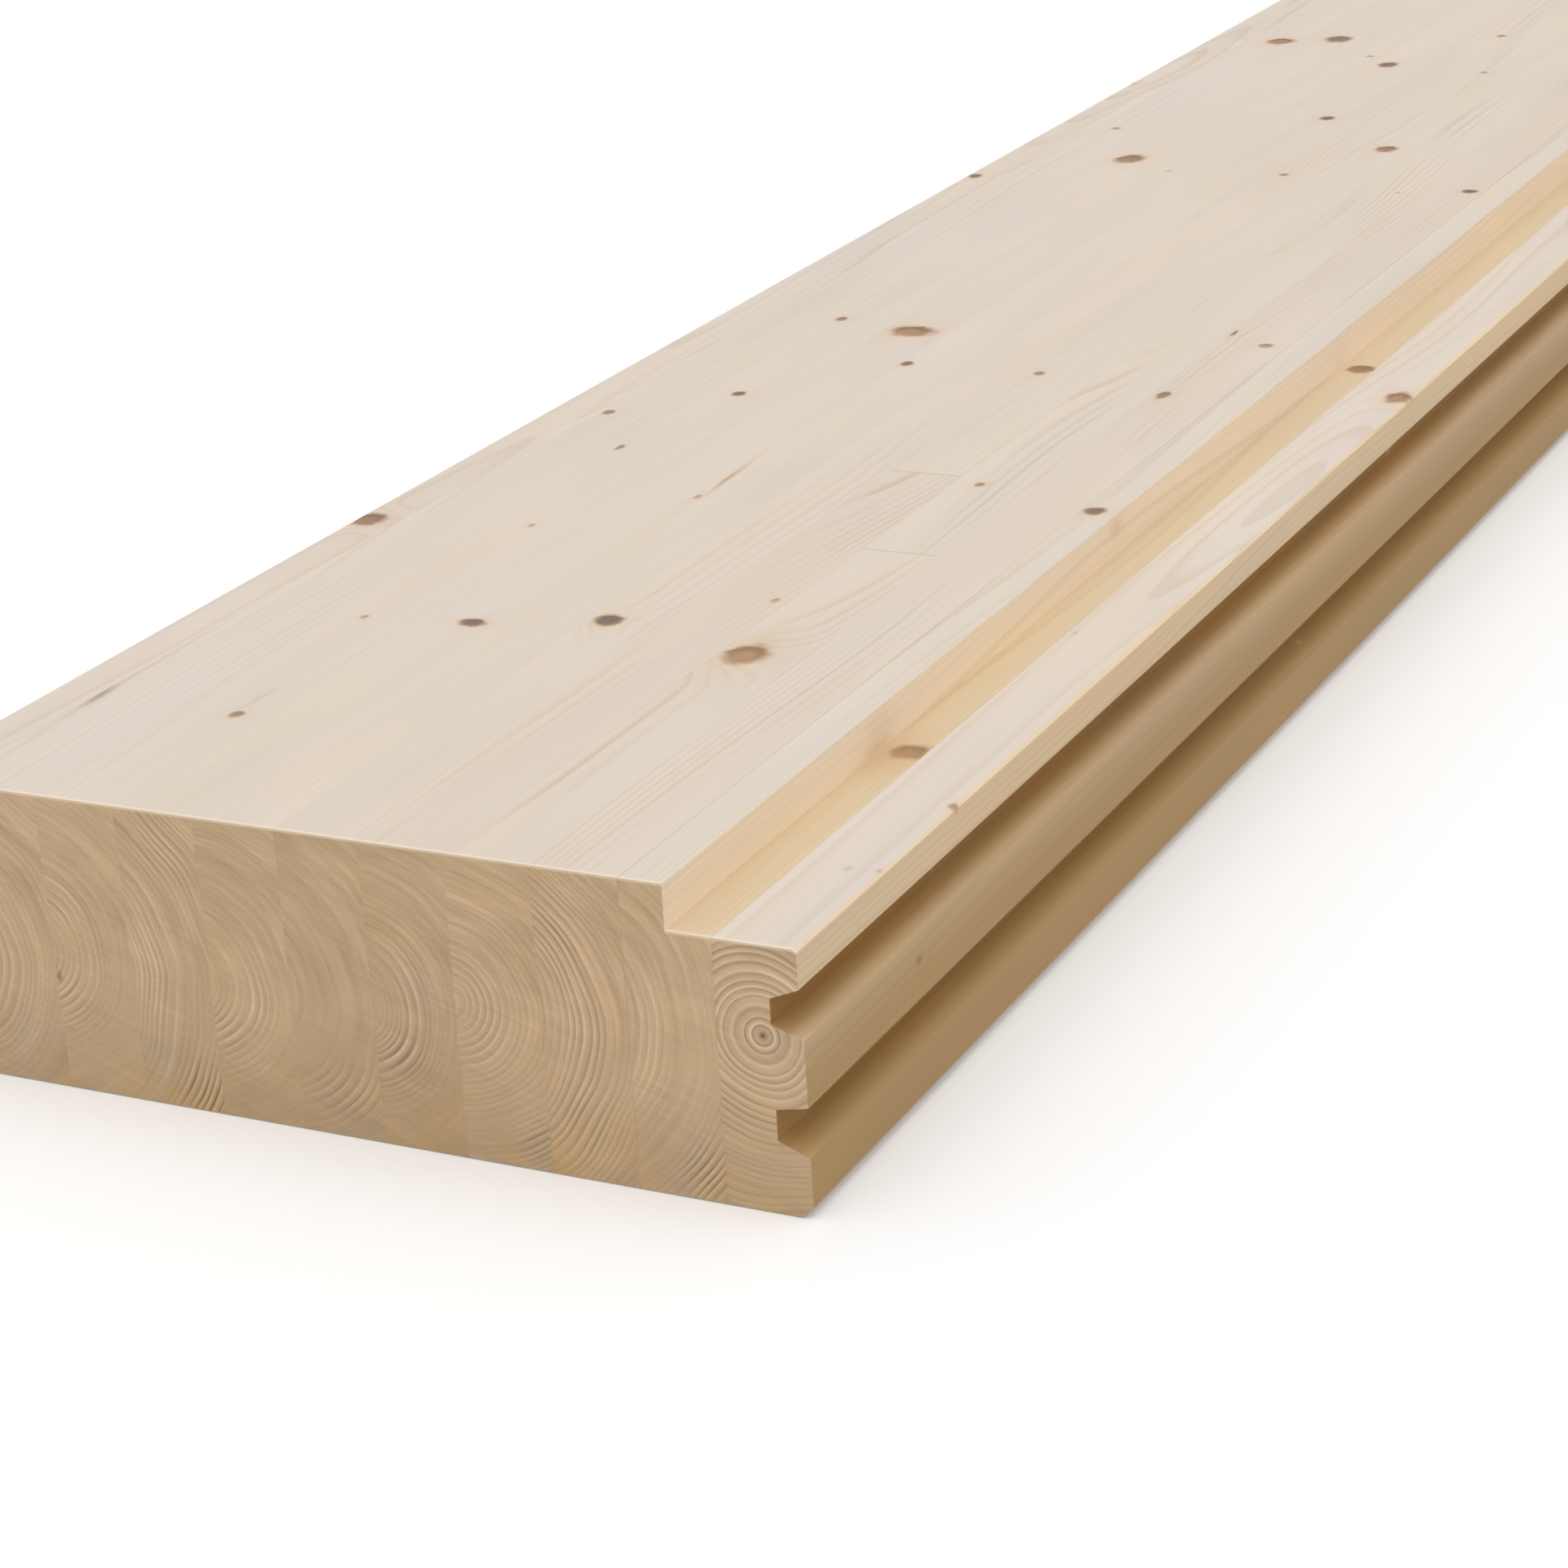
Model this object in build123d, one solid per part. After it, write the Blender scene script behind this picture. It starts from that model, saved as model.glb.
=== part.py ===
"""Laminated floor panel: standing spruce lamellas glued face to face into one slab.

Frame: +X across the panel from the tongued edge to the grooved edge, +Y along the grain,
+Z up. The underside lies on Z = 0, and the overall width and the length are centred on X = Y = 0.
All sizes are in millimetres.
"""
import os
from math import ceil

from build123d import *

# The slab
LENGTH = 3000.0
HEIGHT = 140.0
COVER_WIDTH = 475.0  # shoulder to shoulder: what one laid panel covers
LOWER_ARRIS = 5.0  # chamfer on both long edges of the underside

# The rebate along each top edge, for the strip that bridges two laid panels
REBATE_WIDTH = 60.0
REBATE_DEPTH = 20.5
LIP_SETBACK = 1.5  # the lip over the upper groove stands back, so the joint closes below it first
LIP_ARRIS = 1.5  # chamfer on the lip's top edge

# The two grooves, by the heights above the underside of their mouth's and floor's edges
GROOVE_DEPTH = 14.5
LOWER_MOUTH_LOW = 27.5
LOWER_MOUTH_HIGH = 50.0
LOWER_FLOOR_LOW = 33.0
LOWER_FLOOR_HIGH = 47.0
UPPER_MOUTH_LOW = 80.0
UPPER_MOUTH_HIGH = 102.0
UPPER_FLOOR_LOW = 85.0
UPPER_FLOOR_HIGH = 96.5
LOWER_GROOVE = (LOWER_MOUTH_LOW, LOWER_MOUTH_HIGH, LOWER_FLOOR_LOW, LOWER_FLOOR_HIGH)
UPPER_GROOVE = (UPPER_MOUTH_LOW, UPPER_MOUTH_HIGH, UPPER_FLOOR_LOW, UPPER_FLOOR_HIGH)

# The tongues are the grooves' sections less the play that lets the joint slide together
FLANK_PLAY = 0.3
TIP_PLAY = 1.0
TONGUE_EASING = 1.5  # radius on the tongues' tip edges

# The lamellas are planed to one thickness; the outer two lose more when the edges are profiled
LAMELLA_THICKNESS = 41.0

# End joints between the boards of a lamella: how far the middle of the joint is from the front
# end, by the lamella's number, counted from the tongued edge
JOINT_IN_LAMELLA_8 = 530.0
JOINT_IN_LAMELLA_9 = 404.0
END_JOINTS = {8: JOINT_IN_LAMELLA_8, 9: JOINT_IN_LAMELLA_9}
FINGER_LENGTH = 20.0
FINGER_PITCH = 6.2
FINGER_TIP = 1.0  # the fingers are cut off square at this width

TONGUE_LENGTH = GROOVE_DEPTH - TIP_PLAY
OVERALL_WIDTH = COVER_WIDTH + TONGUE_LENGTH
LAMELLA_COUNT = ceil(OVERALL_WIDTH / LAMELLA_THICKNESS)
RIGHT_EDGE = OVERALL_WIDTH / 2
LEFT_SHOULDER = RIGHT_EDGE - COVER_WIDTH
FRONT_END = -LENGTH / 2


def groove_points(groove, upper_mouth_x):
    """Section of a groove in the right edge, from its lower mouth corner up to its upper one."""
    mouth_low, mouth_high, floor_low, floor_high = groove
    floor_x = RIGHT_EDGE - GROOVE_DEPTH
    return [
        (RIGHT_EDGE, mouth_low),
        (floor_x, floor_low),
        (floor_x, floor_high),
        (upper_mouth_x, mouth_high),
    ]


def tongue(groove):
    """Section of the tongue that fills a groove on the neighbouring panel, tip edges eased."""
    mouth_low, mouth_high, floor_low, floor_high = groove
    reach = TONGUE_LENGTH / GROOVE_DEPTH
    tip_low = mouth_low + reach * (floor_low - mouth_low) + FLANK_PLAY
    tip_high = mouth_high + reach * (floor_high - mouth_high) - FLANK_PLAY
    tip_x = LEFT_SHOULDER - TONGUE_LENGTH
    outline = Polyline(
        (LEFT_SHOULDER, mouth_high - FLANK_PLAY),
        (tip_x, tip_high),
        (tip_x, tip_low),
        (LEFT_SHOULDER, mouth_low + FLANK_PLAY),
        close=True,
    )
    blank = make_face(outline)
    return fillet(blank.vertices().sort_by(Axis.X)[:2], TONGUE_EASING)


def panel_section():
    """The whole panel's section, X across and Z up."""
    shelf = HEIGHT - REBATE_DEPTH
    lip_x = RIGHT_EDGE - LIP_SETBACK
    outline = Polyline(
        (LEFT_SHOULDER + LOWER_ARRIS, 0),
        (RIGHT_EDGE - LOWER_ARRIS, 0),
        (RIGHT_EDGE, LOWER_ARRIS),
        *groove_points(LOWER_GROOVE, RIGHT_EDGE),
        *groove_points(UPPER_GROOVE, lip_x),
        (lip_x, shelf - LIP_ARRIS),
        (lip_x - LIP_ARRIS, shelf),
        (RIGHT_EDGE - REBATE_WIDTH, shelf),
        (RIGHT_EDGE - REBATE_WIDTH, HEIGHT),
        (LEFT_SHOULDER + REBATE_WIDTH, HEIGHT),
        (LEFT_SHOULDER + REBATE_WIDTH, shelf),
        (LEFT_SHOULDER, shelf),
        (LEFT_SHOULDER, LOWER_ARRIS),
        close=True,
    )
    return make_face(outline) + tongue(LOWER_GROOVE) + tongue(UPPER_GROOVE)


def glue_lines():
    """X of every lamella's two faces: equal boards, with the panel's edges planed equally far in."""
    inner_count = LAMELLA_COUNT - 1
    first = -(inner_count - 1) / 2 * LAMELLA_THICKNESS
    inner = [first + index * LAMELLA_THICKNESS for index in range(inner_count)]
    return [-RIGHT_EDGE, *inner, RIGHT_EDGE]


def lamella(section, left_x, right_x):
    """The board between two glue lines, with whatever the panel's profile leaves of it."""
    slab = Pos((left_x + right_x) / 2, HEIGHT / 2) * Rectangle(right_x - left_x, HEIGHT)
    far_end = Plane(origin=(0, LENGTH / 2, 0), x_dir=(1, 0, 0), z_dir=(0, -1, 0))
    return extrude(far_end * (section & slab), LENGTH)


def front_of_joint(joint_y, left_x, right_x):
    """Everything in front of an end joint: a block whose far side is the row of fingers.

    The fingers are cut through the board's thickness, so they show on its wide faces, which are
    glued, and the joint is a straight line on the panel's top and underside.
    """
    root_y = joint_y - FINGER_LENGTH / 2
    tip_y = joint_y + FINGER_LENGTH / 2
    half_pitch = FINGER_PITCH / 2
    fingers = []
    for index in range(ceil(HEIGHT / FINGER_PITCH)):
        z = index * FINGER_PITCH
        fingers += [
            (root_y, z),
            (root_y, z + FINGER_TIP),
            (tip_y, z + half_pitch),
            (tip_y, z + half_pitch + FINGER_TIP),
        ]
    top_z = ceil(HEIGHT / FINGER_PITCH) * FINGER_PITCH
    outline = Polyline((FRONT_END, 0), *fingers, (root_y, top_z), (FRONT_END, top_z), close=True)
    side = Plane(origin=(left_x, 0, 0), x_dir=(0, 1, 0), z_dir=(1, 0, 0))
    return extrude(side * make_face(outline), right_x - left_x)


def lamella_name(number):
    """Lamellas count from the tongued edge; the two that carry the joint are named for it."""
    if number == 1:
        return "tongue_lamella"
    if number == LAMELLA_COUNT:
        return "groove_lamella"
    return f"lamella_{number:02d}"


def build_panel():
    """Every board of the panel, by node name."""
    section = panel_section()
    lines = glue_lines()
    boards = {}
    for number, (left_x, right_x) in enumerate(zip(lines, lines[1:]), start=1):
        name = lamella_name(number)
        whole = lamella(section, left_x, right_x)
        if number not in END_JOINTS:
            boards[name] = whole
            continue
        front = front_of_joint(FRONT_END + END_JOINTS[number], left_x, right_x)
        boards[f"{name}_front_board"] = whole & front
        boards[f"{name}_rear_board"] = whole - front
    return boards


os.makedirs("parts", exist_ok=True)
for name, solid in build_panel().items():
    export_step(solid, f"parts/{name}.step")
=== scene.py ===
"""The looks of the laminated floor panel: planed spruce boards, glued face to face.

Each board is cut from its own log: rings run round a pith that wanders along the board, so the end
grain, the lines on the long faces and the knots all come from one solid wood pattern.
Lengths in the tables are millimetres in the part's frame: X across, Y along the grain, Z up.
"""

from functools import reduce
from math import cos, radians, sin
from types import SimpleNamespace

import bpy
from mathutils import Matrix, Vector

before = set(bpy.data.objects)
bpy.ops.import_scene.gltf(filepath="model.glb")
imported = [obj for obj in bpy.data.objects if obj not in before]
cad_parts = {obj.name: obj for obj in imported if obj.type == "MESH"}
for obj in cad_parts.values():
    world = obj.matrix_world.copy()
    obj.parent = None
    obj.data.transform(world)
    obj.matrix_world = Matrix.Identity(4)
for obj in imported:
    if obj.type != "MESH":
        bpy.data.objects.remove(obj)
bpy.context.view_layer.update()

MM_PER_M = 1000.0


def box(name):
    """The lowest and the highest corner of a board, in millimetres."""
    axes = list(zip(*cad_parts[name].bound_box))
    return [[round(end(axis) * MM_PER_M, 2) for axis in axes] for end in (min, max)]


# The panel: its front end, its grooved edge, and the heights of its top and of the rebates' floors
(_, FRONT_END, _), (RIGHT_EDGE, _, SHELF) = box("groove_lamella")
TOP = box("lamella_07")[1][2]
COVER_WIDTH = 475.0  # without the tongues
REBATE_WIDTH = 60.0
LEFT_STEP = RIGHT_EDGE - COVER_WIDTH + REBATE_WIDTH  # X of the rebates' walls
RIGHT_STEP = RIGHT_EDGE - REBATE_WIDTH
LAMELLA_THICKNESS = 41.0

# Behind the front end, a pith strays from its line by up to about a third of these in X and Z
STRAY_X = 46.0
STRAY_Z = 30.0
STRAY_LENGTH = 700.0  # how far behind the end it strays in full

SAW_LEAN = radians(-20)  # of the saw's marks across the ends, from level
NO_JOINT = 9999.0  # the Y of the end joint of a board that has none


def srgb(red, green, blue):
    """A colour as read from a screen, 0 to 255, as the linear values that shaders take."""
    linear = [((c / 255 + 0.055) / 1.055) ** 2.4 for c in (red, green, blue)]
    return (*linear, 1.0)


# Wood colours
PLANED = srgb(229, 217, 203)
PLANED_LATE = srgb(206, 179, 150)
END_EARLY = srgb(222, 192, 155)
END_LATE = srgb(166, 132, 96)
END_PALE = srgb(252, 232, 210)
KNOT_BROWN = srgb(186, 143, 104)
KNOT_RIM = srgb(132, 92, 60)
KNOT_DARK = srgb(116, 98, 82)
KNOT_HALO = srgb(232, 198, 164)
RESIN = srgb(206, 168, 116)
BRUISE = srgb(132, 100, 70)
GLUE = srgb(150, 112, 70)
MILLED_LATE = srgb(150, 112, 70)
SIDE = srgb(236, 209, 172)
# painted shade, low on the grooved edge
SIDE_PAINTED_SHADE = srgb(188, 154, 106)
# painted shade inside the grooves
GROOVE_SHADE = srgb(164, 124, 66)
# painted light, on the rebates' walls
STEP_PAINTED_LIGHT = srgb(249, 229, 202)
# painted highlight, on the arrises
ARRIS_HIGHLIGHT = srgb(250, 231, 205)
BAND = srgb(224, 204, 171)
PALE_BAND = srgb(229, 217, 205)

# name: pith X, pith Z, ring width, radius of the palest rings, radius of the darkest, how clear the
# rings are on the end and on the long faces, darkness of the glue line on the board's left, tint of
# the whole board, shade of its sawn end
BOARDS = {
    "tongue_lamella": (-227, 62, 3.6, 60, 30, 0.5, 0.4, 0.2, (1.0, 0.985, 0.965), 1.0),
    "lamella_02": (-196, 54, 3.4, 50, 30, 0.5, 0.55, 0.4, (1.0, 0.995, 0.99), 1.0),
    "lamella_03": (-192, 60, 4.4, 50, 42, 0.3, 0.3, 0.3, (1.0, 0.99, 0.985), 1.0),
    "lamella_04": (-137, 67, 3.7, 30, 33, 0.2, 0.12, 0.2, (1.0, 0.985, 0.975), 1.0),
    "lamella_05": (-142, 60, 4.8, 77, 104, 0.3, 0.12, 0.2, (0.995, 0.985, 0.97), 1.0),
    "lamella_06": (-53, 63, 4.0, 36, 28, 0.2, 0.12, 0.3, (1.0, 0.985, 0.965), 0.98),
    "lamella_07": (-22, 66, 5.0, 60, 66, 0.05, 0.35, 0.2, (1.0, 0.98, 0.96), 0.96),
    "lamella_08_front_board": (31, 65, 3.6, 32, 30, 0.2, 0.6, 0.35, (0.99, 0.965, 0.94), 0.96),
    "lamella_08_rear_board": (24, 58, 4.4, 40, 60, 0.5, 0.25, 0.35, (0.995, 0.985, 0.965), 1.0),
    "lamella_09_front_board": (79, 73, 3.8, 24, 46, 0.35, 0.5, 0.5, (1.0, 0.98, 0.955), 1.02),
    "lamella_09_rear_board": (70, 62, 3.8, 30, 50, 0.4, 0.55, 0.5, (1.0, 0.985, 0.965), 1.0),
    "lamella_10": (81, 68, 4.6, 56, 66, 0.45, 0.5, 0.3, (1.0, 0.975, 0.95), 1.01),
    "lamella_11": (118, 76, 5.8, 50, 97, 0.3, 0.4, 1.2, (1.01, 1.0, 0.985), 1.01),
    "groove_lamella": (225.8, 79.6, 4.3, 22, 40, 0.75, 0.4, 0.7, (1.02, 1.01, 0.995), 1.03),
}

# name: where rings stand out on the front end, as X, Z, half sizes, and how much the dark and the
# pale part of the rings do
CLEAR_RINGS = {
    "lamella_03": [(-148, 48, 14, 30, 0.1, 0.6), (-156, 22, 7, 12, 0.3, 0.4)],
    "lamella_04": [(-114, 90, 10, 11, 0.5, 0.9), (-117, 46, 9, 13, 0.9, 1.1),
                   (-103, 66, 6, 14, 0.3, 0.6)],
    "lamella_05": [(-70, 62, 9, 40, 0.35, 1.3), (-51, 9, 11, 14, 1.7, 1.2),
                   (-58, 122, 15, 18, 0.7, 1.0)],
    "lamella_06": [(-35, 43, 9, 10, 1.0, 1.2), (-17, 58, 9, 20, 0.3, 0.8),
                   (-28, 28, 14, 8, 0.4, 0.4)],
    "lamella_07": [(25, 20, 20, 13, 0.7, 0.7)],
    "lamella_08_front_board": [(53, 45, 12, 11, 1.0, 1.2), (62, 74, 8, 24, 0.3, 0.8),
                               (50, 30, 14, 7, 0.4, 0.5)],
    "lamella_09_front_board": [(97, 62, 13, 26, 0.3, 0.6), (118, 12, 9, 13, 1.1, 0.6),
                               (91, 78, 5, 6, 0.9, 0.5)],
    "lamella_10": [(133, 106, 12, 26, 1.2, 0.7), (141, 70, 12, 22, 0.7, 1.0),
                   (140, 28, 16, 24, 0.9, 0.8)],
    "lamella_11": [(197, 12, 10, 13, 1.7, 1.3), (174, 60, 8, 40, 0.2, 0.6)],
    "groove_lamella": [(224, 98, 30, 30, 0.35, 0.5), (223, 79, 22, 20, 0.85, 0.8),
                       (212, 44, 14, 14, 0.4, 0.3)],
}

# The colours of what the profile's cutters leave, where it isn't the usual: walls, lightened with
# painted light, and the shelf
MILLED = {"lamella_11": (STEP_PAINTED_LIGHT, BAND), "lamella_02": (STEP_PAINTED_LIGHT, PALE_BAND)}

# name: knots as X, Y, Z where they come out, radius there, stretch along the grain, darkness
KNOTS = {
    "tongue_lamella": [(-224.3, -1059.5, SHELF, 9, 1.2, 0.35)],
    "lamella_03": [(-160.1, -902.3, TOP, 3.0, 1.4, 0.5)],
    "lamella_04": [
        (-92.3, -1386.4, TOP, 2.8, 1.6, 0.6),
        (-107.4, -1251.3, TOP, 1.8, 1.5, 0.5),
        (-99.6, -1099.3, TOP, 1.6, 1.8, 0.3),
        (-121.5, -961.9, TOP, 2.6, 1.8, 0.4),
        (-104.9, -848.2, TOP, 3.6, 1.3, 0.9),
        (-117.1, -682.9, TOP, 3.2, 1.4, 0.5),
    ],
    "lamella_05": [
        (-52.2, -1243.1, TOP, 4.6, 1.2, 0.9),
        (-64.3, -698.3, TOP, 9.5, 1.2, 0.1),
    ],
    "lamella_06": [
        (-37.8, -1031.1, TOP, 1.8, 2.0, 0.3),
        (-37.1, -765.1, TOP, 3.6, 1.4, 0.75),
    ],
    "lamella_07": [(10.0, -1220.4, TOP, 6.4, 1.2, 1.0)],
    "lamella_08_front_board": [(75.0, -1170.9, TOP, 1.8, 1.8, 0.2)],
    "lamella_08_rear_board": [(45.6, -764.6, TOP, 3.0, 1.4, 0.2)],
    "lamella_09_front_board": [(95.7, -1244.6, TOP, 10.2, 1.3, 0.1)],
    "lamella_09_rear_board": [(96.7, -970.6, TOP, 2.6, 1.4, 0.5)],
    "lamella_10": [
        (130.0, -788.4, TOP, 3.0, 2.4, 0.8),
        (122.1, -654.2, TOP, 3.0, 2.4, 0.8),
        (151.0, -676.0, TOP, 3.0, 1.4, 0.1),
    ],
    "lamella_11": [
        (171.0, -996.7, TOP, 4.4, 1.5, 0.7),
        (197.2, -1287.7, SHELF, 4.4, 2.05, 0.35),
        (196.1, -640.7, SHELF, 3.8, 2.2, 0.4),
    ],
    "groove_lamella": [
        (235.1, -691.7, SHELF, 7.2, 1.5, 0.1),
        (241.5, -1340.3, SHELF, 2.2, 1.4, 0.4),
    ],
}

# Knots left to chance: the height they come out at, the stretch of board that holds one, and the Y
# they start beyond
WHORLS = [(TOP, 390.0, -480.0), (0.0, 520.0, FRONT_END + 60)]
WHORL_MARGIN = 6.0  # how far they stay inside the board's faces
WHORL_STRETCH = 1.35
SMALLEST_RADIUS = 1.4
LARGEST_RADIUS = 9.4

# name: resin streaks as X, Y, Z of the middle, half sizes, lean in X per Y, strength
RESIN_STREAKS = {
    "lamella_04": [(-94.0, -1366.0, TOP, (1.6, 16, 3), 0.06, 0.3)],
    "lamella_06": [(-37.0, -992.0, TOP, (1.7, 32, 3), -0.06, 0.6)],
    "lamella_09_front_board": [(96.0, -1232.0, TOP, (10, 26, 3), 0.0, 0.2)],
    "lamella_11": [
        (184.2, -1296.0, 122.0, (3, 14, 4), 0.0, 0.35),
        (184.2, -1293.5, 131.0, (3, 14, 8), 0.0, 0.12),
        (184.2, -1000.4, 133.7, (3, 8, 5), 0.0, 0.3),
        (193, -1296.0, SHELF, (14, 26, 3), 0.0, 0.35),
    ],
}

# name: bruises, with the same facts
BRUISES = {
    "lamella_02": [(-169.0, -1383.9, TOP, (2.8, 13, 4), -0.05, 0.5)],
    "lamella_04": [(-121.8, FRONT_END, 54.0, (1.5, 3, 2.6), 0.0, 0.6)],
    "lamella_06": [(-37.4, -1000.0, TOP, (0.8, 12, 3), -0.06, 0.45)],
    "groove_lamella": [
        (227.4, -1417.6, SHELF, (1.4, 3, 3), 0.0, 0.3),
        (240.6, -1415.8, SHELF, (1.2, 2, 3), 0.0, 0.4),
        (208.9, -1118.2, SHELF, (1.0, 3, 3), 0.0, 0.3),
        # This one is painted shadow: a dark spot on the grooved edge between the grooves
        (244.3, -1388.0, 68.0, (2, 2.6, 1.8), 0.0, 0.6),
        (225.8, FRONT_END, 79.6, (2.0, 3, 2.0), 0.0, 0.95),
    ],
}


class Tree:
    """Short calls that build one node tree. A value for a socket is a number or another socket."""

    def __init__(self, tree):
        self.tree = tree

    def put(self, socket, value):
        if isinstance(value, bpy.types.NodeSocket):
            self.tree.links.new(value, socket)
        else:
            socket.default_value = value

    def node(self, kind, *values, **settings):
        made = self.tree.nodes.new("ShaderNode" + kind)
        for key, value in settings.items():
            setattr(made, key, value)
        for socket, value in zip(made.inputs, values):
            self.put(socket, value)
        return made

    def math(self, operation, *values):
        return self.node("Math", *values, operation=operation).outputs[0]

    def add(self, *values):
        return reduce(lambda a, b: self.math("ADD", a, b), values)

    def sub(self, a, b):
        return self.math("SUBTRACT", a, b)

    def mul(self, *values):
        return reduce(lambda a, b: self.math("MULTIPLY", a, b), values)

    def larger(self, a, b):
        return self.math("MAXIMUM", a, b)

    def div(self, a, b):
        return self.math("DIVIDE", a, b)

    def hypot(self, a, b):
        return self.math("SQRT", self.add(self.mul(a, a), self.mul(b, b)))

    def absolute(self, a):
        return self.math("ABSOLUTE", a)

    def bell(self, value, middle, width):
        """1 at the middle, falling off over the width."""
        off = self.div(self.sub(value, middle), width)
        return self.math("EXPONENT", self.mul(self.mul(off, off), -1.0))

    def ramp(self, value, low, high, at_low=0.0, at_high=1.0):
        """From at_low to at_high as the value goes from low to high, easing in and out."""
        return self.node("MapRange", value, low, high, at_low, at_high,
                         interpolation_type="SMOOTHSTEP").outputs[0]

    def combine(self, x, y, z):
        return self.node("CombineXYZ", x, y, z).outputs[0]

    def separate(self, vector):
        return self.node("SeparateXYZ", vector).outputs

    def noise_node(self, where, place, scale, detail, roughness, **settings):
        made = self.node("TexNoise", **settings)
        self.put(made.inputs[where], place)
        self.put(made.inputs["Scale"], scale)
        self.put(made.inputs["Detail"], detail)
        self.put(made.inputs["Roughness"], roughness)
        return made

    def noise(self, vector, scale=1.0, detail=1.0, roughness=0.5):
        """Noise about zero, mostly between -0.3 and 0.3."""
        made = self.noise_node("Vector", vector, scale, detail, roughness)
        return self.sub(made.outputs[0], 0.5)

    def noise_along(self, value, detail=1.0, roughness=0.5):
        """The same kind of noise over a single number."""
        made = self.noise_node("W", value, 1.0, detail, roughness, noise_dimensions="1D")
        return self.sub(made.outputs[0], 0.5)

    def three_noises(self, vector):
        """Three such noises over the same place."""
        made = self.noise_node("Vector", vector, 1.0, 1.0, 0.5)
        return [self.sub(part, 0.5) for part in self.separate(made.outputs["Color"])]

    def chances(self, vector):
        """Even random numbers from 0 to 1: one as Value and three as Color."""
        return self.node("TexWhiteNoise", vector, noise_dimensions="3D").outputs

    def mix(self, factor, a, b, blend="MIX"):
        made = self.node("Mix", data_type="RGBA", blend_type=blend)
        self.put(made.inputs[0], factor)
        self.put(made.inputs[6], a)
        self.put(made.inputs[7], b)
        return made.outputs[2]

    def millimetres(self):
        """The point's X, Y and Z in the part's frame."""
        place = self.node("TexCoord").outputs["Object"]
        scaled = self.node("VectorMath", place, operation="SCALE")
        self.put(scaled.inputs["Scale"], MM_PER_M)
        return self.separate(scaled.outputs[0])


def blank_tree(owner):
    """The node tree of a material or a world, emptied."""
    owner.use_nodes = True
    owner.node_tree.nodes.clear()
    return Tree(owner.node_tree)


def new_group(name, inputs, outputs):
    """A node group with float sockets unless a name ends in Colour."""
    made = bpy.data.node_groups.new(name, "ShaderNodeTree")
    for in_out, names in (("INPUT", inputs), ("OUTPUT", outputs)):
        for socket in names:
            kind = "NodeSocketColor" if socket.endswith("Colour") else "NodeSocketFloat"
            made.interface.new_socket(name=socket, in_out=in_out, socket_type=kind)
    tree = Tree(made)
    given = made.nodes.new("NodeGroupInput").outputs
    wanted = made.nodes.new("NodeGroupOutput").inputs
    return made, tree, given, wanted


# What a board's knots add up to at a point: how much of it is knot, how dark, its rim, the warmer
# wood round it, and how far the rings swell out
KNOT_TOTALS = ["Cover", "Dark", "Rim", "Halo", "Swell"]


def put_totals(tree, wanted, totals):
    for socket, value in zip(wanted, totals):
        tree.put(socket, value)


def with_knot(tree, given, exit_x, exit_y, exit_z, radius, stretch, dark):
    """The running totals with one more knot: a cone from the pith through where it comes out."""
    x, y, z = tree.millimetres()
    reach_x = tree.sub(exit_x, given["Pith X"])
    reach_z = tree.sub(exit_z, given["Pith Z"])
    reach = tree.hypot(reach_x, reach_z)
    way_x, way_z = tree.div(reach_x, reach), tree.div(reach_z, reach)
    from_x, from_z = tree.sub(x, given["Pith X"]), tree.sub(z, given["Pith Z"])
    along = tree.add(tree.mul(from_x, way_x), tree.mul(from_z, way_z))
    across = tree.sub(tree.mul(from_x, way_z), tree.mul(from_z, way_x))
    length = tree.div(tree.sub(y, exit_y), stretch)
    radius = tree.larger(tree.mul(radius, tree.div(along, reach)), 0.05)
    clear = tree.add(tree.hypot(across, length), tree.mul(given["Ragged"], radius))
    share = tree.div(clear, radius)
    ahead = tree.ramp(along, 2.0, 8.0)
    plain = tree.ramp(radius, 0.8, 4.0, 0.5, 1.0)  # twigs leave fainter marks than branches
    cover = tree.mul(tree.ramp(share, 1.35, 0.65), ahead, plain)
    # The rim is the knot's own darker edge, with painted shade added on its far side
    far_side_shade = tree.ramp(tree.div(length, radius), -0.7, 0.8, 0.12, 1.0)
    rim = tree.mul(tree.bell(share, 0.7, 0.4), cover, far_side_shade)
    heart = tree.add(0.8, tree.mul(tree.bell(share, 0.0, 0.4), 0.6))
    near = tree.mul(tree.bell(clear, 0.0, tree.mul(radius, 2.0)), ahead)
    return (
        tree.larger(given["Cover"], cover),
        tree.larger(given["Dark"], tree.mul(cover, dark, heart)),
        tree.larger(given["Rim"], rim),
        tree.larger(given["Halo"], near),
        tree.add(given["Swell"], tree.mul(near, radius, 0.8)),
    )


def knot_group():
    """A knot that comes out at a known point."""
    made, tree, given, wanted = new_group(
        "knot",
        [*KNOT_TOTALS, "Ragged", "Pith X", "Pith Z", "X", "Y", "Z", "Radius", "Stretch",
         "Darkness"],
        KNOT_TOTALS,
    )
    put_totals(tree, wanted, with_knot(
        tree, given, given["X"], given["Y"], given["Z"], given["Radius"], given["Stretch"],
        given["Darkness"]))
    return made


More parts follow.
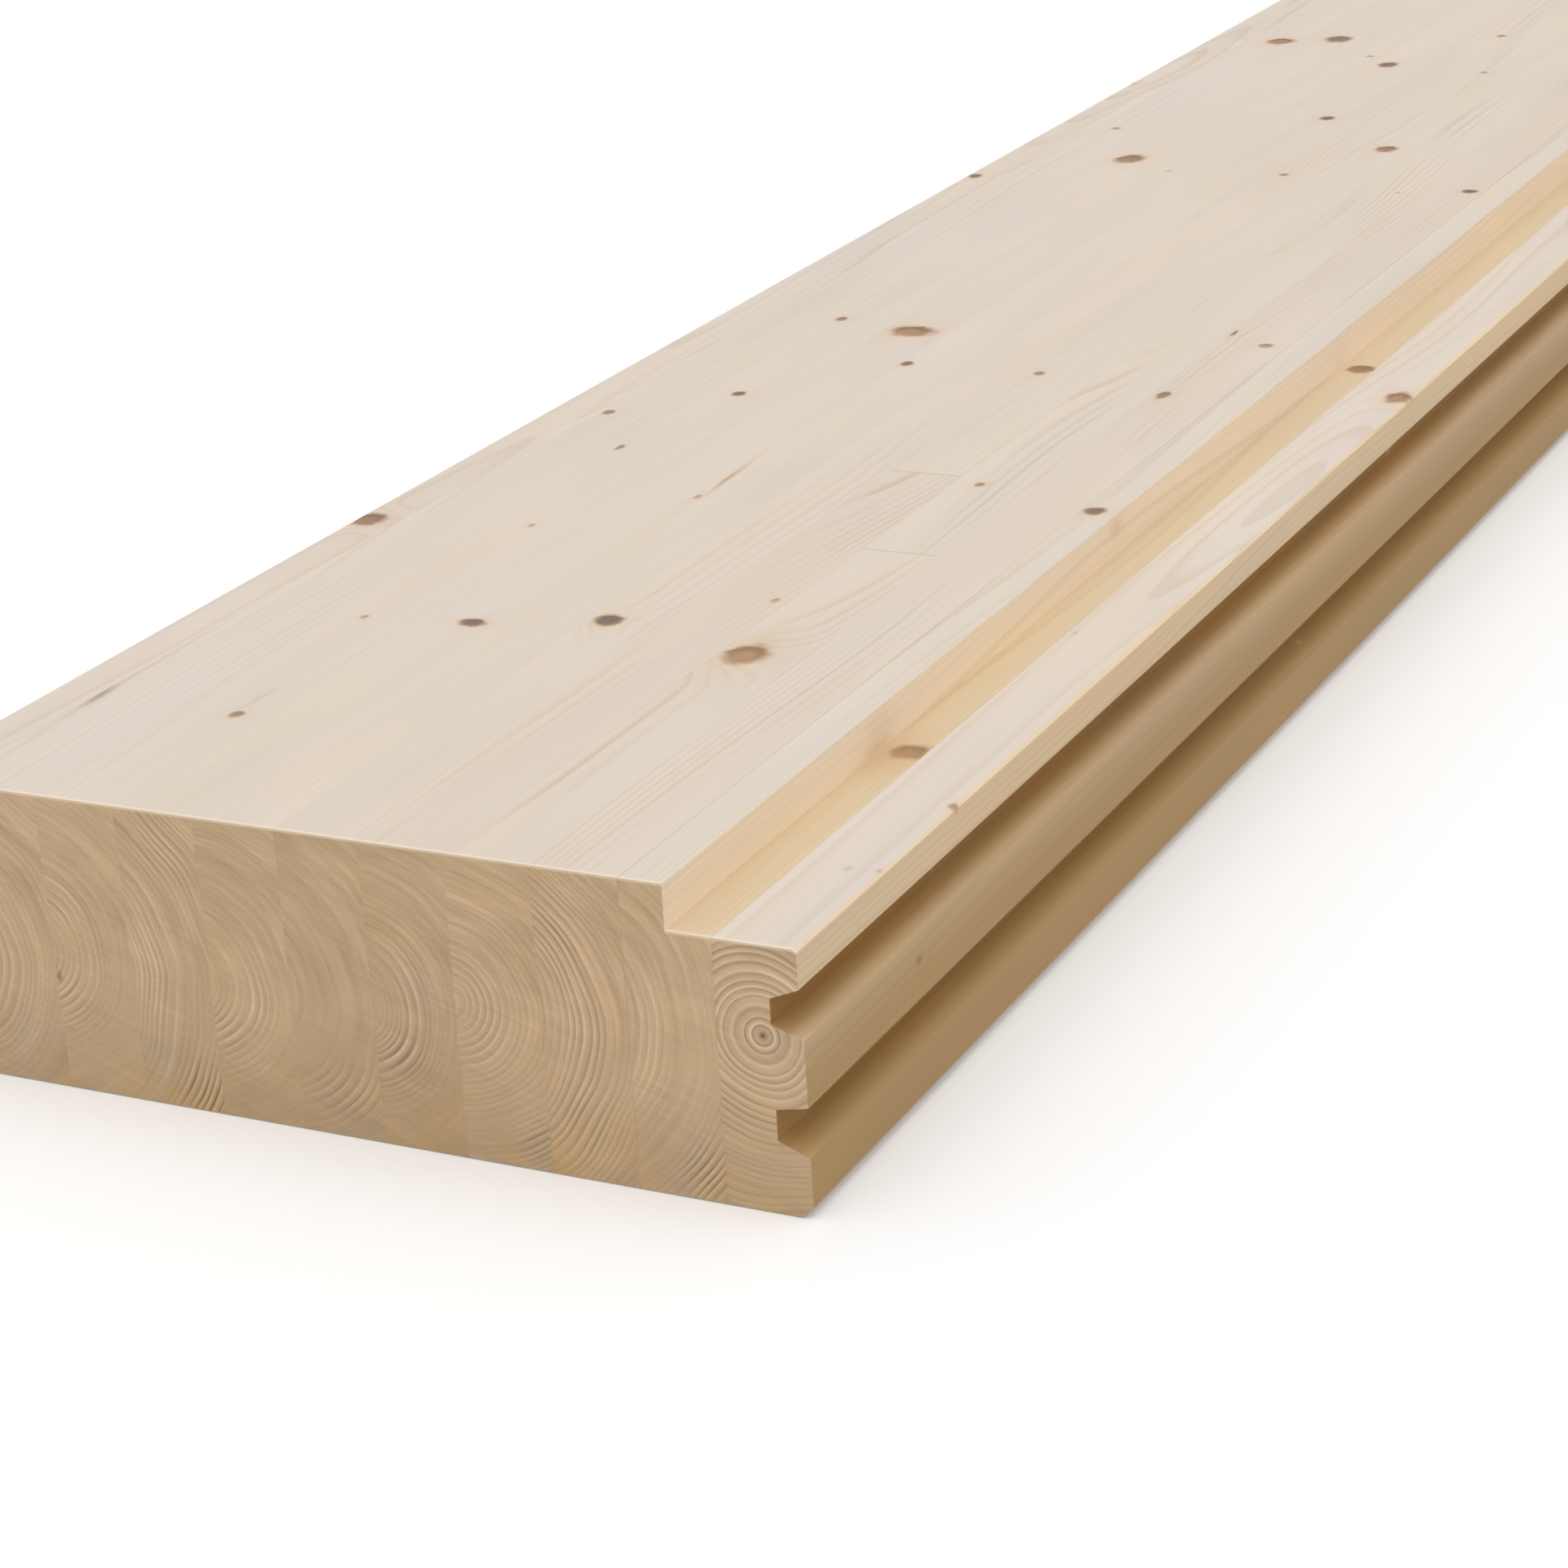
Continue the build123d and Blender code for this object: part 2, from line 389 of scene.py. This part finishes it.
def whorl_group():
    """One knot in each stretch of a board beyond From Y, its place and size left to chance."""
    made, tree, given, wanted = new_group(
        "whorl",
        [*KNOT_TOTALS, "Ragged", "Pith X", "Pith Z", "Left Face", "Z", "Seed", "Stretch Length",
         "From Y"],
        KNOT_TOTALS,
    )
    y = tree.millimetres()[1]
    number = tree.math("FLOOR", tree.div(y, given["Stretch Length"]))
    chances = tree.chances(tree.combine(number, given["Seed"], 3.0))
    first, second, third = tree.separate(chances["Color"])
    room = tree.mul(second, LAMELLA_THICKNESS - 2 * WHORL_MARGIN)
    knot_x = tree.add(given["Left Face"], WHORL_MARGIN, room)
    knot_y = tree.mul(tree.add(number, 0.2, tree.mul(first, 0.6)), given["Stretch Length"])
    growth = tree.mul(third, third, LARGEST_RADIUS - SMALLEST_RADIUS)  # most stay small
    free = tree.math("GREATER_THAN", knot_y, given["From Y"])
    radius = tree.mul(tree.add(SMALLEST_RADIUS, growth), free)
    dark = tree.math("FRACT", tree.mul(first, 7.0))
    put_totals(tree, wanted, with_knot(
        tree, given, knot_x, knot_y, given["Z"], radius, WHORL_STRETCH, dark))
    return made


def streak_group():
    """A slender bruise or resin streak round a point."""
    made, tree, given, wanted = new_group(
        "streak",
        ["Streak", "X", "Y", "Z", "Size X", "Size Y", "Size Z", "Lean", "Strength"],
        ["Streak"],
    )
    x, y, z = tree.millimetres()
    off_y = tree.sub(y, given["Y"])
    off_x = tree.sub(tree.sub(x, given["X"]), tree.mul(off_y, given["Lean"]))
    shape = tree.mul(
        tree.bell(off_x, 0.0, given["Size X"]),
        tree.bell(off_y, 0.0, given["Size Y"]),
        tree.bell(z, given["Z"], given["Size Z"]),
        given["Strength"],
    )
    tree.put(wanted["Streak"], tree.larger(given["Streak"], shape))
    return made


def spot_group():
    """A place on the sawn end where the dark and pale parts of the rings stand out."""
    made, tree, given, wanted = new_group(
        "spot",
        ["Clear Dark", "Clear Pale", "X", "Z", "Size X", "Size Z", "Dark", "Pale"],
        ["Clear Dark", "Clear Pale"],
    )
    x, _, z = tree.millimetres()
    near = tree.mul(
        tree.bell(x, given["X"], given["Size X"]), tree.bell(z, given["Z"], given["Size Z"]))
    for total, strength in (("Clear Dark", "Dark"), ("Clear Pale", "Pale")):
        tree.put(wanted[total], tree.larger(given[total], tree.mul(near, given[strength])))
    return made


def surface_point(tree):
    """Where a point of the surface lies, how its face is turned, and whether it is sawn."""
    x, y, z = tree.millimetres()
    normal_x, normal_y, up = tree.separate(tree.node("NewGeometry").outputs["True Normal"])
    end = tree.ramp(tree.absolute(normal_y), 0.5, 0.8)
    return SimpleNamespace(
        x=x, y=y, z=z, steep=tree.absolute(normal_x), up=up, end=end, long=tree.sub(1.0, end))


def from_pith(tree, given, at):
    """How far a point is from the pith in X and Z. The pith strays behind the front end."""
    strayed = tree.ramp(at.y, FRONT_END, FRONT_END + STRAY_LENGTH)
    slow = tree.mul(at.y, 0.0013)
    noise_x = tree.noise_along(tree.add(slow, tree.mul(given["Seed"], 7.3)))
    noise_z = tree.noise_along(tree.add(slow, tree.mul(given["Seed"], 3.1)))
    pith_x = tree.add(given["Pith X"], tree.mul(noise_x, strayed, STRAY_X))
    pith_z = tree.add(given["Pith Z"], tree.mul(noise_z, strayed, STRAY_Z))
    return tree.sub(at.x, pith_x), tree.sub(at.z, pith_z)


def wood_rings(tree, given, at):
    """The growth rings at a point: its radius, and the late and early wood of its year."""
    seed = given["Seed"]
    from_x, from_z = from_pith(tree, given, at)
    bend = tree.noise(tree.combine(
        tree.add(tree.mul(at.x, 0.02), seed), tree.mul(at.y, 0.0022), tree.mul(at.z, 0.02)))
    round_radius = tree.hypot(from_x, from_z)
    bent = tree.mul(bend, tree.ramp(round_radius, 0.0, 60.0, 3.0, 11.0))  # more, further out
    radius = tree.add(round_radius, bent, given["Swell"])
    uneven = tree.noise_along(tree.add(tree.mul(radius, 0.05), tree.mul(seed, 5.7)))
    closer = tree.add(1.0, tree.mul(radius, 0.003))  # rings narrow as the tree ages
    count = tree.add(
        tree.mul(tree.div(radius, given["Ring Width"]), closer), tree.mul(uneven, 2.2))
    phase = tree.math("FRACT", count)
    chance = tree.chances(tree.combine(tree.math("FLOOR", count), seed, 1.0))["Value"]
    return SimpleNamespace(
        from_x=from_x,
        from_z=from_z,
        radius=radius,
        late=tree.mul(tree.ramp(phase, 0.45, 0.88), tree.ramp(phase, 1.0, 0.93)),
        early=tree.mul(tree.ramp(phase, 0.0, 0.1), tree.ramp(phase, 0.45, 0.12)),
        chance=chance,
        varied=tree.add(0.2, tree.mul(chance, 0.8)),
        band=tree.noise_along(tree.add(tree.mul(radius, 0.1), tree.mul(seed, 9.1)), 2.0, 0.6),
    )


def wood_marks(tree, given, at):
    """Fibres, pores, the saw's marks, and the board's broad changes of tone, warmth and grain."""
    seed = given["Seed"]
    along_saw = tree.add(tree.mul(at.x, cos(SAW_LEAN)), tree.mul(at.z, sin(SAW_LEAN)))
    over_saw = tree.sub(tree.mul(at.z, cos(SAW_LEAN)), tree.mul(at.x, sin(SAW_LEAN)))
    tone, blush, grain = tree.three_noises(tree.combine(
        tree.add(tree.mul(at.x, 0.03), seed), tree.mul(at.y, 0.0045), tree.mul(at.z, 0.04)))
    return SimpleNamespace(
        fibre=tree.noise(tree.combine(
            tree.mul(at.x, 0.8), tree.add(tree.mul(at.y, 0.01), seed), tree.mul(at.z, 0.8))),
        pores=tree.noise(tree.combine(at.x, at.y, at.z), 1.1),
        saw=tree.noise(tree.combine(
            tree.mul(along_saw, 0.016), tree.mul(over_saw, 0.4), 2.0), roughness=0.6),
        tone=tone,
        blush=blush,
        grain=grain,
    )


def long_face_colour(tree, given, at, rings, marks):
    """The planed top and underside, and what the edge cutters leave between them."""
    lines = tree.mul(rings.late, rings.varied, given["Face Rings"])
    planed = tree.mix(tree.mul(lines, tree.ramp(marks.grain, -0.16, 0.2)), PLANED, PLANED_LATE)

    # The cutters leave the walls, and all that lies between the underside and the rebates' floors
    between = tree.mul(tree.ramp(at.z, 0.4, 0.8), tree.ramp(at.z, SHELF - 0.6, SHELF - 1.0))
    cut = tree.larger(between, tree.ramp(at.steep, 0.3, 0.8))
    on_shelf = tree.mul(
        tree.ramp(at.z, SHELF + 0.8, SHELF + 0.3), tree.sub(1.0, cut), tree.ramp(at.z, 60.0, 61.0))
    planed = tree.mix(on_shelf, planed, tree.mix(lines, given["Shelf Colour"], PLANED_LATE))

    # Painted shade: the tongued edge is pale nearly all the way down, the grooved one darkens
    # downwards
    upper = tree.larger(tree.ramp(at.z, 55.0, 112.0), tree.ramp(at.x, 0.0, -1.0, 0.0, 0.7))
    milled = tree.mix(upper, SIDE_PAINTED_SHADE, given["Wall Colour"])
    # Painted shade inside the groove, a little less on the faces that look up
    shade_in_groove = tree.mul(
        tree.ramp(at.x, RIGHT_EDGE - 0.05, 233.0),
        tree.ramp(at.x, 200.0, 210.0),
        tree.ramp(at.z, 105.0, 100.0),
        tree.ramp(at.z, 55.0, 75.0, 0.7, 1.0),
        tree.ramp(at.up, 0.2, 0.6, 1.0, 0.8),
    )
    milled = tree.mix(shade_in_groove, milled, GROOVE_SHADE)
    # Painted light: the rebates' walls, above their floors, are lighter
    milled = tree.mix(tree.mul(tree.ramp(at.z, SHELF - 1.6, SHELF - 1.2), 0.5), milled, STEP_PAINTED_LIGHT)
    milled = tree.mix(tree.mul(lines, 0.4), milled, MILLED_LATE)
    return tree.mix(cut, planed, milled)


def sawn_colour(tree, given, rings):
    """The sawn end, where some rings stand out and others hardly show."""
    darkest = tree.bell(rings.radius, given["Dark Radius"], 9.0)
    palest = tree.bell(rings.radius, given["Pale Radius"], 10.0)
    clear_dark = tree.add(given["Clear Dark"], tree.mul(
        given["End Rings"], tree.add(0.45, tree.mul(darkest, 0.6))))
    clear_pale = tree.add(given["Clear Pale"], tree.mul(
        given["End Rings"], tree.add(0.25, tree.mul(palest, 0.5))))
    dark = tree.mul(rings.late, tree.add(0.35, tree.mul(rings.chance, 0.5)), clear_dark, 0.75)
    pale = tree.mul(rings.early, tree.add(0.3, tree.mul(rings.varied, 0.7)), clear_pale, 0.62)
    return tree.mix(pale, tree.mix(dark, END_EARLY, END_LATE), END_PALE)


def shading(tree, given, at, rings, marks):
    """What the colour is multiplied by: fibres and tone on long faces, marks of the saw on ends,
    and painted shade low on the ends.
    """
    on_long = tree.add(
        tree.mul(marks.fibre, 0.05), tree.mul(marks.tone, 0.11), tree.mul(rings.band, 0.04))
    raked = tree.noise(tree.combine(
        tree.mul(rings.radius, 0.3),
        tree.add(tree.mul(rings.from_x, 0.022), given["Seed"]),
        tree.mul(rings.from_z, 0.022)), detail=2.0, roughness=0.6)
    on_end = tree.add(
        tree.mul(marks.saw, 0.16),
        tree.mul(marks.pores, 0.14),
        tree.mul(rings.band, 0.12),
        tree.mul(raked, tree.ramp(at.z, 45.0, 95.0, 0.2, 0.62)),
        tree.mul(marks.tone, 0.26),
        tree.sub(given["End Shade"], 1.0),
    )
    shade = tree.add(1.0, tree.mul(on_long, at.long), tree.mul(on_end, at.end))
    # Painted shade: the ends darken towards the floor
    painted_shade_below = tree.mul(tree.ramp(at.z, 60.0, 0.0), at.end, 0.12)
    shade = tree.mul(shade, tree.sub(1.0, painted_shade_below))
    # The ends grow warmer towards the bottom, with more of the patchy warmth there
    warmer_low_on_end = tree.mul(tree.ramp(at.z, 36.0, 6.0), at.end)
    warm = tree.add(
        tree.mul(marks.blush, tree.add(0.16, tree.mul(warmer_low_on_end, 0.5))), tree.mul(warmer_low_on_end, 0.05))
    red = tree.mul(shade, tree.add(1.0, tree.mul(warm, 0.3)))
    blue = tree.mul(shade, tree.sub(1.0, warm))
    return tree.node("CombineColor", red, shade, blue).outputs[0]


def painted_arris_highlight(tree, at):
    """A painted highlight along the upper arrises of the ends, which are broken, and along the
    front edges of the faces that look up.
    """
    front = tree.mul(
        tree.ramp(at.y, FRONT_END + 3.0, FRONT_END + 1.0),
        tree.ramp(at.up, 0.5, 0.8),
        tree.ramp(at.z, 110.0, 112.0),
    )
    below_top = tree.mul(at.end, tree.ramp(at.z, TOP - 1.3, TOP - 0.7))
    in_rebate = tree.larger(
        tree.ramp(at.x, RIGHT_STEP - 0.25, RIGHT_STEP + 0.25),
        tree.ramp(at.x, LEFT_STEP + 0.25, LEFT_STEP - 0.25))
    below_shelf = tree.mul(at.end, in_rebate, tree.ramp(at.z, SHELF - 1.3, SHELF - 0.7))
    return tree.larger(tree.larger(front, below_top), below_shelf)


def glue_lines(tree, given, at):
    """The glue line along a board's left face, and the line of its end joint."""
    flush = tree.ramp(at.steep, 0.5, 0.3)
    patchy = tree.noise(
        tree.combine(tree.mul(at.x, 0.02), tree.mul(at.y, 0.004), 5.0), detail=0.0)
    seam = tree.mul(
        tree.ramp(tree.sub(at.x, given["Left Face"]), 0.9, 0.1),
        given["Left Seam"],
        flush,
        tree.sub(1.0, tree.mul(at.end, 0.6)),
        tree.add(0.12, tree.mul(tree.ramp(patchy, -0.2, 0.25), 0.28)),
    )
    joint = tree.mul(tree.bell(at.y, given["Joint"], 0.7), flush, at.long, 0.3)
    return seam, joint


def spruce_group():
    """Spruce, from its rings to its knots, on sawn ends and on planed and milled faces."""
    made, tree, given, wanted = new_group(
        "spruce",
        ["Pith X", "Pith Z", "Ring Width", "Pale Radius", "Dark Radius", "End Rings", "Face Rings",
         "Seed", "Left Face", "Left Seam", "Joint", "End Shade", "Clear Dark", "Clear Pale",
         *KNOT_TOTALS, "Resin", "Bruise", "Tint Colour", "Wall Colour", "Shelf Colour"],
        ["Colour", "Roughness", "Height"],
    )
    at = surface_point(tree)
    rings = wood_rings(tree, given, at)
    marks = wood_marks(tree, given, at)

    faces = long_face_colour(tree, given, at, rings, marks)
    colour = tree.mix(at.end, faces, sawn_colour(tree, given, rings))
    colour = tree.mix(1.0, colour, given["Tint Colour"], "MULTIPLY")
    colour = tree.mix(1.0, colour, shading(tree, given, at, rings, marks), "MULTIPLY")
    # Painted highlight along the arrises
    colour = tree.mix(tree.mul(painted_arris_highlight(tree, at), 0.7), colour, ARRIS_HIGHLIGHT)
    for line in glue_lines(tree, given, at):
        colour = tree.mix(line, colour, GLUE)

    colour = tree.mix(tree.mul(given["Halo"], 0.42), colour, KNOT_HALO)
    knot = tree.mix(tree.add(given["Rim"], tree.mul(marks.pores, 0.8)), KNOT_BROWN, KNOT_RIM)
    knot = tree.mix(tree.add(given["Dark"], tree.mul(marks.pores, 0.6)), knot, KNOT_DARK)
    colour = tree.mix(tree.mul(given["Cover"], 0.94), colour, knot)
    colour = tree.mix(given["Resin"], colour, RESIN)
    colour = tree.mix(given["Bruise"], colour, BRUISE)
    tree.put(wanted["Colour"], colour)

    tree.put(wanted["Roughness"], tree.add(
        0.56, tree.mul(at.end, 0.2), tree.mul(marks.fibre, 0.2), tree.mul(rings.late, -0.05),
        tree.mul(given["Cover"], -0.08)))
    tree.put(wanted["Height"], tree.add(
        tree.mul(marks.fibre, at.long), tree.mul(marks.saw, at.end, 1.4)))
    return made


def joint_line(name):
    """Y of the line that the board's end joint makes on the top: the far end of its front board."""
    front_board = name.replace("rear", "front")
    return box(front_board)[1][1] if front_board.endswith("front_board") else NO_JOINT


def board_material(name, number, groups):
    """The material of one board, from its line in each table."""
    (pith_x, pith_z, ring, palest, darkest, end_rings, face_rings, seam, tint,
     end_shade) = BOARDS[name]
    left = box(name)[0][0]
    wall, shelf = MILLED.get(name, (SIDE, PALE_BAND))
    made = bpy.data.materials.new(f"spruce_{name}")
    tree = blank_tree(made)

    def use(group, **values):
        """What a group gives for these values, whose names have _ for a space."""
        node = tree.node("Group", node_tree=groups[group])
        for socket, value in values.items():
            tree.put(node.inputs[socket.replace("_", " ")], value)
        return dict(node.outputs.items())

    seed = 3.7 + 11.3 * number  # far enough apart for no two boards to look alike
    totals = dict.fromkeys(KNOT_TOTALS, 0.0)
    ragged = tree.mul(tree.noise(tree.combine(*tree.millimetres()), 0.16), 0.6)
    for index, (out_z, length, from_y) in enumerate(WHORLS):
        totals = use("whorl", **totals, Ragged=ragged, Pith_X=pith_x, Pith_Z=pith_z, Left_Face=left,
                     Z=out_z, Seed=seed + 5.1 * index, Stretch_Length=length, From_Y=from_y)
    for x, y, z, radius, stretch, dark in KNOTS.get(name, []):
        totals = use("knot", **totals, Ragged=ragged, X=x, Y=y, Z=z, Pith_X=pith_x, Pith_Z=pith_z,
                     Radius=radius, Stretch=stretch, Darkness=dark)
    rings = {"Clear Dark": 0.0, "Clear Pale": 0.0}
    for x, z, size_x, size_z, dark, pale in CLEAR_RINGS.get(name, []):
        rings = use("spot", **rings, X=x, Z=z, Size_X=size_x, Size_Z=size_z, Dark=dark, Pale=pale)
    marks = {}
    for kind, table in (("Resin", RESIN_STREAKS), ("Bruise", BRUISES)):
        marks[kind] = 0.0
        for x, y, z, (size_x, size_y, size_z), lean, strength in table.get(name, []):
            marks[kind] = use("streak", Streak=marks[kind], X=x, Y=y, Z=z, Size_X=size_x,
                              Size_Y=size_y, Size_Z=size_z, Lean=lean,
                              Strength=strength)["Streak"]
    wood = use("spruce", **totals, **rings, **marks, Pith_X=pith_x, Pith_Z=pith_z, Ring_Width=ring,
               Pale_Radius=palest, Dark_Radius=darkest, End_Rings=end_rings, Face_Rings=face_rings,
               Seed=seed, Left_Face=left, Left_Seam=seam, Joint=joint_line(name),
               End_Shade=end_shade, Tint_Colour=(*tint, 1.0), Wall_Colour=wall, Shelf_Colour=shelf)
    bump = tree.node("Bump")
    bump.inputs["Strength"].default_value = 0.5
    bump.inputs["Distance"].default_value = 0.2 / MM_PER_M
    tree.put(bump.inputs["Height"], wood["Height"])
    shader = tree.node("BsdfPrincipled")
    tree.put(shader.inputs["Base Color"], wood["Colour"])
    tree.put(shader.inputs["Roughness"], wood["Roughness"])
    tree.put(shader.inputs["Normal"], bump.outputs[0])
    shader.inputs["Specular IOR Level"].default_value = 0.25
    tree.node("OutputMaterial", shader.outputs[0])
    return made


groups = {
    "knot": knot_group(),
    "whorl": whorl_group(),
    "streak": streak_group(),
    "spot": spot_group(),
    "spruce": spruce_group(),
}
for number, name in enumerate(BOARDS):
    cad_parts[name].material_slots[0].material = board_material(name, number, groups)

# Floor: white to the camera, darker to the light that it throws back up
floor_mesh = bpy.data.meshes.new("floor")
floor_mesh.from_pydata(
    [(-30, -30, 0), (30, -30, 0), (30, 30, 0), (-30, 30, 0)], [], [(0, 1, 2, 3)])
floor = bpy.data.objects.new("floor", floor_mesh)
floor.location.z = -0.5 / MM_PER_M
bpy.context.scene.collection.objects.link(floor)
paint = bpy.data.materials.new("floor")
tree = blank_tree(paint)
ray = tree.node("LightPath").outputs
seen = tree.larger(ray["Is Camera Ray"], ray["Is Glossy Ray"])
shown = (0.97, 0.97, 0.97, 1)
thrown_back = (0.5, 0.49, 0.46, 1)
matt = tree.node("BsdfDiffuse", tree.mix(seen, thrown_back, shown))
glow = tree.node("Emission", (1, 1, 1, 1), tree.mul(seen, 0.1))
tree.node("OutputMaterial", tree.node("AddShader", matt.outputs[0], glow.outputs[0]).outputs[0])
floor_mesh.materials.append(paint)

# Light: an even pale room and one very soft lamp overhead, a little to the front and right
world = bpy.data.worlds.new("room")
tree = blank_tree(world)
height = tree.separate(tree.node("TexCoord").outputs["Generated"])[2]
level = tree.ramp(height, 0.0, 0.9, at_low=0.42, at_high=0.84)
seen = tree.node("LightPath").outputs["Is Camera Ray"]
level = tree.add(tree.mul(level, tree.sub(1.0, seen)), seen)
tree.node("OutputWorld", tree.node("Background", (1, 1, 1, 1), level).outputs[0])
bpy.context.scene.world = world

sun = bpy.data.lights.new("overhead", "SUN")
sun.energy = 0.9
sun.angle = radians(100)
overhead = bpy.data.objects.new("overhead", sun)
overhead.rotation_mode = "QUATERNION"
towards_sun = Vector((0.5, -0.45, 1.0))
overhead.rotation_quaternion = towards_sun.to_track_quat("Z", "Y")
bpy.context.scene.collection.objects.link(overhead)

# Camera, as fitted to the panel's edges in the photo
camera_data = bpy.data.cameras.new("camera")
camera_data.sensor_width = 36.0
camera_data.lens = 89.168
camera_data.clip_start = 0.05
camera_data.clip_end = 200
camera = bpy.data.objects.new("camera", camera_data)
right = Vector((0.899109, 0.434431, -0.053594))
up = Vector((-0.11474, 0.352066, 0.928916))
back = Vector((0.422418, -0.829047, 0.366393))
place = Vector((0.87955, -2.75158, 0.74332))
turned = Matrix((right, up, back)).transposed().to_4x4()
camera.matrix_world = Matrix.Translation(place) @ turned
bpy.context.scene.collection.objects.link(camera)
bpy.context.scene.camera = camera
bpy.context.scene.view_settings.view_transform = "Standard"
